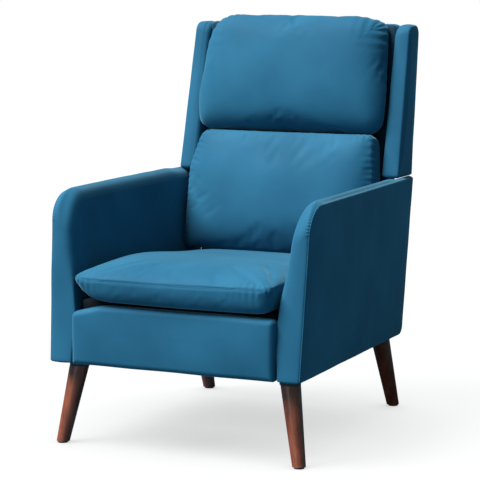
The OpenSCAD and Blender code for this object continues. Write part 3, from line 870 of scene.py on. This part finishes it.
def sew(obj, path, depth, folds, name):
    """Presses a seam into a cushion, gathers cloth beside it and sews stitches along it.

    folds is (size, wavelength, reach, where): where gives each path point's share of the gathering.
    """
    line, run = spaced(to_row(path), 2 * MM)
    co = coordinates(obj)
    out = normals(obj)
    distance, nearest = from_path(co, line)
    distance = distance / MM
    size, wavelength, reach, where = folds
    share = where(from_row(line))[nearest]
    uneven = wander(line / MM, 60.0, 4)[nearest] * 3.0
    wave = np.sin(2 * math.pi * run[nearest] / MM / wavelength + uneven)
    gather = size * share * wave * (distance / reach) * np.exp(1 - distance / reach)
    press = -depth * np.exp(-(distance / GROOVE_WIDTH) ** 2)
    set_coordinates(obj, co + out * ((gather + press) * MM)[:, None])
    tree = BVHTree.FromObject(obj, bpy.context.evaluated_depsgraph_get())
    laid = []
    for q in line:
        place, normal = tree.find_nearest(q)[:2]
        laid.append(place + normal * 0.35 * MM)
    return thread(name, from_row(laid), close=True)


def from_row(points):
    """Row metres to design millimetres."""
    return (np.asarray(points) - np.array([0, FRONT_Y, 0])) / MM


def swell(distance, reach, power):
    """Rise from 0 at an edge to 1 at reach from it, steep at first."""
    t = np.clip(distance / reach, 0, 1)
    return (1 - (1 - t) ** 2) ** power


def finish_cushion(cushion, stitches, node, body):
    """Attaches a cushion and its stitches to one body, so they ride together, and hides the node they
    replace.
    """
    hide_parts(node)
    for piece in (cushion, stitches):
        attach(piece, body)


SEAT_LEFT = (267, 266)  # half widths at the front and at the rear
SEAT_RIGHT = (271, 266)
SEAT_ENDS = (-22, 634)
SEAT_TOP = ((-30, 462), (60, 467), (180, 469), (320, 453), (450, 438), (560, 428), (640, 420))
SEAT_BOTTOM = 370.5
SEAT_INSETS = (100, 88, 76, 65, 55, 46, 38, 31, 25, 19.5, 14.5, 10, 6, 2.6)


def seat_ring(inset, upper, scale=1.0):
    """Ring of the seat cushion at a distance in from its knife edge, above or below the seam."""
    front, rear = SEAT_ENDS
    corners = [(-SEAT_LEFT[0], front), (SEAT_RIGHT[0], front),
               (SEAT_RIGHT[1], rear), (-SEAT_LEFT[1], rear)]
    p = outline(corners, [34, 26, 26, 26], inset, 9.0, 8)
    p = scaled(p, scale)
    x, y = p[:, 0], p[:, 1]
    left = np.interp(y, SEAT_ENDS, SEAT_LEFT) + x
    right = np.interp(y, SEAT_ENDS, SEAT_RIGHT) - x
    seam_z = 428 - 30 * smooth((y - 400) / 240) + 5 * smooth((x + 100) / 360)
    bulge = 4 * (1 - (x / 266) ** 2) - 2
    if upper:
        goal = np.interp(y, *zip(*SEAT_TOP)) + bulge
        rise = swell(left, 96, 0.66) * swell(right, 56, 0.6)
        rise = rise * swell(y - front, 60, 0.6) * swell(rear - y, 50, 0.6)
    else:
        goal = np.full(len(p), SEAT_BOTTOM)
        rise = swell(left, 84, 0.8) * swell(right, 20, 0.5)
        rise = rise * swell(y - front, 15, 0.45) * swell(rear - y, 40, 0.6)
    bow = -8 * smooth(1 - (y - front) / 120) * (1 - (x / 266) ** 2)
    return np.stack([x, y + bow, seam_z + (goal - seam_z) * rise], 1)


def make_seat_cushion():
    """Knife-edged cushion with a seam round its middle."""
    rings = [seat_ring(100, True, s) for s in face_scales(16)]
    rings += [seat_ring(i, True) for i in SEAT_INSETS]
    seam = seat_ring(0, True)
    rings.append(seam)
    rings += [seat_ring(i, False) for i in reversed(SEAT_INSETS)]
    rings += [seat_ring(100, False, s) for s in reversed(face_scales(9))]
    cushion = loft("seat_cushion_velvet", [to_row(r) for r in rings], VELVET)
    remeshed(cushion)
    line, _ = spaced(to_row(seam), 3 * MM)
    co = coordinates(cushion)
    near, _ = from_path(co, line)
    place = from_row(co)
    hidden = (place[:, 2] < 373) | (place[:, 1] > 600)
    relax(cushion, smooth((near / MM - SHARP) / SMOOTHED_OVER), SMOOTHINGS)
    pins = np.where((near < HELD * MM) | hidden, 1.0, 0.0)
    puff(cushion, pins, pressure=1.4, growth=0.0015, cap=8)
    subdivide(cushion)
    ripple(cushion, 1.2, 7, 110.0)
    ends = (0.8, 17.0, 9.0, lambda q: 0.12 + 0.88 * smooth((np.abs(q[:, 0]) - 170) / 70)
            * smooth(1.4 - (q[:, 1] + 22) / 50))
    stitches = sew(cushion, seam, 2.2, ends, "seat_cushion_stitches")
    finish_cushion(cushion, stitches, "seat_cushion", "seat")


def at_depth(p, depth):
    """Outline stood up in the back's millimetres; depth is a number or a function of x and height."""
    depth = depth(p[:, 0], p[:, 1]) if callable(depth) else np.full(len(p), float(depth))
    return np.stack([p[:, 0], -depth, p[:, 1]], 1)


def upright_ring(corners, radii, inset, depth, scale=1.0):
    """Ring of a back cushion, as x, distance in front of the back's rear face, and height."""
    p = outline(corners, radii, inset, 9.0, 8)
    p = scaled(p, scale)
    return at_depth(p, depth)


LUMBAR_CORNERS = [(-280, 88), (276, 88), (264, 300), (254, 412), (-243, 410), (-277, 300)]
LUMBAR_RADII = [18, 18, 120, 12, 26, 90]


def lumbar_front(x, z):
    """Depth of the lumbar cushion's crowned front, as a function of place."""
    left = 274 - 0.22 * np.clip(z - 310, 0, 110) + x
    right = 263 + 0.065 * np.clip(300 - z, 0, 200) - 0.09 * np.clip(z - 300, 0, 120) - x
    rise = swell(left, 130, 0.62) * swell(right, 90, 0.62)
    return 134 + 42 * rise * swell(z - 88, 80, 0.6) * swell(411 - z, 150, 0.62)


def make_lumbar():
    """Boxed cushion: a flat back, a side gusset, a seam and a crowned front."""
    def ring(inset, depth, scale=1.0):
        return upright_ring(LUMBAR_CORNERS, LUMBAR_RADII, inset, depth, scale)

    rings = [ring(12, 65, s) for s in face_scales(6)]
    rings += [ring(i, d) for i, d in ((12, 65), (5, 66), (2, 70), (0, 80), (-1.5, 92), (-2, 104),
                                      (-1.5, 115), (0, 124), (0.5, 130))]
    seam = ring(0, 134)
    rings.append(seam)
    rings += [ring(i, lumbar_front) for i in (3, 7, 12, 18, 25, 33, 42, 52, 63, 75, 88)]
    rings += [ring(88, lumbar_front, s) for s in reversed(face_scales(12))]
    cushion = loft("lumbar_cushion_velvet", [to_row(lean(r)) for r in rings], VELVET)
    remeshed(cushion)
    line, _ = spaced(to_row(lean(seam)), 3 * MM)
    co = coordinates(cushion)
    near, _ = from_path(co, line)
    behind = in_back(co)[:, 1] > -118
    relax(cushion, smooth((near / MM - SHARP) / SMOOTHED_OVER), SMOOTHINGS)
    pins = np.where((near < HELD * MM) | behind, 1.0, 0.0)
    puff(cushion, pins, pressure=1.4, growth=0.0025, cap=8)
    subdivide(cushion)
    ripple(cushion, 1.2, 9, 130.0)
    folds = (0.7, 17.0, 8.0, lambda q: 0.25 + 0.75 * smooth((np.abs(q[:, 0]) - 180) / 70))
    stitches = sew(cushion, lean(seam), 2.2, folds, "lumbar_cushion_stitches")
    finish_cushion(cushion, stitches, "lumbar_cushion", "back")


def in_back(points):
    """Row metres to the back's own millimetres."""
    p = from_row(points)
    c, s = math.cos(BACK_LEAN), math.sin(BACK_LEAN)
    y, z = p[:, 1] - BACK_BASE[0], p[:, 2] - BACK_BASE[1]
    return np.stack([p[:, 0], y * c - z * s, y * s + z * c], 1)


PILLOW_CORNERS = [(-277, 406), (273, 406), (278, 520), (249, 735), (-249, 735), (-282, 520)]
PILLOW_RADII = [38, 38, 200, 92, 92, 200]
PILLOW_REAR = [(-248, 422), (248, 422), (255, 560), (259, 724), (-250, 724), (-252, 560)]
PILLOW_REAR_RADII = [40, 40, 200, 34, 34, 200]


def pillow_front(x, z):
    """Depth of the head pillow's crowned front, as a function of place."""
    side = np.interp(z, (411, 520, 733), (271, 273, 240)) - np.abs(x) - 26
    rise = swell(side, 150, 0.7) * swell(z - 430, 170, 0.62) * swell(712 - z, 190, 0.7)
    return 137 + 25 * rise


def pillow_ring(inset, depth, rear=0.0, scale=1.0):
    """Ring of the head pillow; rear is 0 in the outline of its face and 1 in that of its seam."""
    face = outline(PILLOW_CORNERS, PILLOW_RADII, inset, 9.0, 8)
    back = outline(PILLOW_REAR, PILLOW_REAR_RADII, inset, 9.0, 8, PILLOW_CORNERS)
    p = face * (1 - rear) + back * rear
    p = scaled(p, scale)
    return at_depth(p, depth)


def make_head_pillow():
    """Head pillow wrapped in one piece and gathered into a seam at its rear."""
    rings = [pillow_ring(12, 64, 1, s) for s in face_scales(6)]
    rings += [pillow_ring(12, 64, 1), pillow_ring(4, 66, 1)]
    seam = pillow_ring(0, 70, 1)
    rings.append(seam)
    for k in range(1, 15):
        a = math.pi * k / 15
        inset = 34 * max(-math.cos(a), 0) ** 1.5
        depth = 70 + 67 * (1 - math.cos(a)) / 2
        rings.append(pillow_ring(inset, depth, max(math.cos(a), 0) ** 1.3))
    rings += [pillow_ring(i, pillow_front) for i in (34, 42, 52, 64, 76, 88)]
    rings += [pillow_ring(88, pillow_front, 0, s) for s in reversed(face_scales(11))]
    cushion = loft("head_pillow_velvet", [to_row(lean(r)) for r in rings], VELVET)
    remeshed(cushion)
    place = in_back(coordinates(cushion))[:, 1]
    relax(cushion, 0.15 + 0.85 * smooth((-74 - place) / 25), 45)
    behind = place > -77
    puff(cushion, np.where(behind, 1.0, 0.0), pressure=1.5, growth=0.0045, cap=9)
    subdivide(cushion)
    ripple(cushion, 1.3, 11, 130.0)
    folds = (1.2, 25.0, 24.0, lambda q: 0.05 + 0.95 * smooth((q[:, 2] - 930) / 60)
             * smooth((np.abs(q[:, 0]) - 150) / 60))
    stitches = sew(cushion, lean(seam), 2.0, folds, "head_pillow_stitches")
    finish_cushion(cushion, stitches, "head_pillow", "back")


# ---------------------------------------------------------------- studio

def area_light(name, location, target, size, power):
    """Round soft light that points at a target."""
    light = bpy.data.lights.new(name, "AREA")
    light.shape = "DISK"
    light.size = size
    light.energy = power
    obj = bpy.data.objects.new(name, light)
    obj.location = location
    obj.rotation_euler = (Vector(target) - Vector(location)).to_track_quat("-Z", "Y").to_euler()
    bpy.context.scene.collection.objects.link(obj)


def camera_only(tree, seen, unseen):
    """Shader that camera rays meet as seen and all light meets as unseen."""
    path = tree.nodes.new("ShaderNodeLightPath")
    mix = tree.nodes.new("ShaderNodeMixShader")
    tree.links.new(path.outputs["Is Camera Ray"], mix.inputs["Fac"])
    tree.links.new(unseen, mix.inputs[1])
    tree.links.new(seen, mix.inputs[2])
    return mix.outputs["Shader"]


FLOOR_HALF = 14.0
KEY_DIRECTION = (0.44, 0.37, -0.82)
CAMERA_PLACE = (2.3154, -5.0081, 1.2590)
CAMERA_PITCH, CAMERA_YAW = math.radians(82), math.radians(24.9)


def make_floor():
    """Pale luminous floor, its glow darkened softly under the chair as a painted shadow, that bounces
    little light.
    """
    material, tree, shader, coords = new_material("studio_floor")
    clouds = noise_node(tree, coords, 1.5, 3.0)
    # Ambient occlusion darkens the floor's glow under the chair: a painted shadow.
    near = tree.nodes.new("ShaderNodeAmbientOcclusion")
    near.samples = 16
    near.inputs["Distance"].default_value = 0.42
    shade = ramp(tree, near.outputs["AO"], [(0.10, (0.56, 0.56, 0.56)), (0.92, (0.93, 0.93, 0.93))])
    mottle = ramp(tree, clouds, [(0.3, (0.99, 0.99, 0.99)), (0.7, (1, 1, 1))])
    glow = mixed(tree, shade, mottle, 1.0, "MULTIPLY")
    shader.inputs["Base Color"].default_value = (0.05, 0.05, 0.05, 1)
    shader.inputs["Roughness"].default_value = 0.9
    shader.inputs["Specular IOR Level"].default_value = 0.05
    tree.links.new(glow, shader.inputs["Emission Color"])
    shader.inputs["Emission Strength"].default_value = 1.0
    dull = tree.nodes.new("ShaderNodeBsdfDiffuse")
    dull.inputs["Color"].default_value = (0.035, 0.100, 0.140, 1)
    out = tree.nodes["Material Output"]
    surface = camera_only(tree, shader.outputs["BSDF"], dull.outputs["BSDF"])
    tree.links.new(surface, out.inputs["Surface"])
    h = FLOOR_HALF
    verts = [(-h, -h, 0), (h, -h, 0), (h, h, 0), (-h, h, 0)]
    floor = mesh_object("studio_floor", verts, [(0, 1, 2, 3)], material)


def make_world():
    """White backdrop that lights the scene only a little."""
    world = bpy.data.worlds.new("studio")
    bpy.context.scene.world = world
    world.use_nodes = True
    tree = world.node_tree
    tree.nodes.clear()
    out = tree.nodes.new("ShaderNodeOutputWorld")
    shown = tree.nodes.new("ShaderNodeBackground")
    light = tree.nodes.new("ShaderNodeBackground")
    shown.inputs["Color"].default_value = (1, 1, 1, 1)
    light.inputs["Color"].default_value = (0.50, 0.84, 1.0, 1)
    light.inputs["Strength"].default_value = 0.30
    shader = camera_only(tree, shown.outputs["Background"], light.outputs["Background"])
    tree.links.new(shader, out.inputs["Surface"])


def make_studio():
    """Floor, backdrop, a large soft key from the upper left and a fill from the front."""
    make_floor()
    make_world()
    sun = bpy.data.lights.new("key", "SUN")
    sun.energy = 8.2
    sun.angle = math.radians(34)
    key = bpy.data.objects.new("key", sun)
    key.rotation_euler = Vector(KEY_DIRECTION).to_track_quat("-Z", "Y").to_euler()
    bpy.context.scene.collection.objects.link(key)
    area_light("front", (-0.9, -4.4, 0.15), (0, 0, 0.42), 2.0, 34)
    bpy.context.scene.view_settings.view_transform = "Standard"
    bpy.context.scene.view_settings.look = "None"


def make_camera():
    """Long-lens camera at the photograph's viewing angle."""
    data = bpy.data.cameras.new("camera")
    data.lens = 161.87
    data.sensor_width = 36
    camera = bpy.data.objects.new("camera", data)
    camera.location = CAMERA_PLACE
    camera.rotation_euler = (CAMERA_PITCH, 0, CAMERA_YAW)
    bpy.context.scene.collection.objects.link(camera)
    bpy.context.scene.camera = camera


# ---------------------------------------------------------------- scene

make_camera()
make_studio()
dress_cad_nodes()
make_arms()
make_wings()
make_back_shell()
make_rear_cover()
make_footrest_panel()
make_deck()
make_seat_cushion()
make_lumbar()
make_head_pillow()
